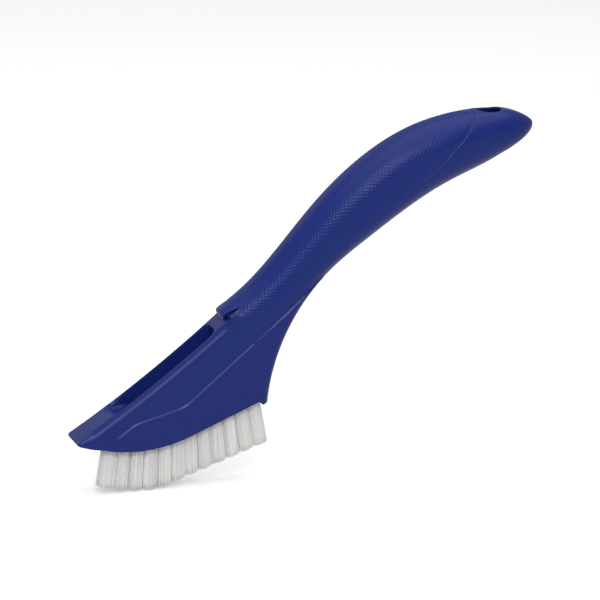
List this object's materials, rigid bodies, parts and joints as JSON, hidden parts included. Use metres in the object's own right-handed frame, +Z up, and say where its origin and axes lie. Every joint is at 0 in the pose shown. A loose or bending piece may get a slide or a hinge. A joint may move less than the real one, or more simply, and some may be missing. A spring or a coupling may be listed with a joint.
{
  "type": "grout brush",
  "caption": "Hand brush for scrubbing tile joints: curved handle with a soft grip, narrow head with an open trough, staggered fanned nylon tufts and a hanging hole.",
  "frame": {"origin": "on the ground under the lowest bristle tips, half way along and across the brush", "axes": "+X from the nose to the end of the handle, +Z up, +Y to the right of someone who holds the handle and looks towards the nose"},
  "size_m": [0.1924, 0.0242, 0.144],
  "materials": {
    "body_plastic": "satin moulded",
    "grip_rubber": "fine raised diamond pattern",
    "bristle_nylon": "translucent filaments",
    "anchor_metal": "drawn flat wire"
  },
  "bodies": {
    "root": {"anchor_strips_left": "anchor_metal", "anchor_strips_right": "anchor_metal", "brush_body": "body_plastic", "soft_grip": "grip_rubber", "tuft_left_01": "bristle_nylon", "tuft_left_02": "bristle_nylon", "tuft_left_03": "bristle_nylon", "tuft_left_04": "bristle_nylon", "tuft_left_05": "bristle_nylon", "tuft_left_06": "bristle_nylon", "tuft_left_07": "bristle_nylon", "tuft_left_08": "bristle_nylon", "tuft_left_09": "bristle_nylon", "tuft_left_10": "bristle_nylon", "tuft_left_11": "bristle_nylon", "tuft_left_12": "bristle_nylon", "tuft_right_01": "bristle_nylon", "tuft_right_02": "bristle_nylon", "tuft_right_03": "bristle_nylon", "tuft_right_04": "bristle_nylon", "tuft_right_05": "bristle_nylon", "tuft_right_06": "bristle_nylon", "tuft_right_07": "bristle_nylon", "tuft_right_08": "bristle_nylon", "tuft_right_09": "bristle_nylon", "tuft_right_10": "bristle_nylon", "tuft_right_11": "bristle_nylon"}
  },
  "joints": []
}
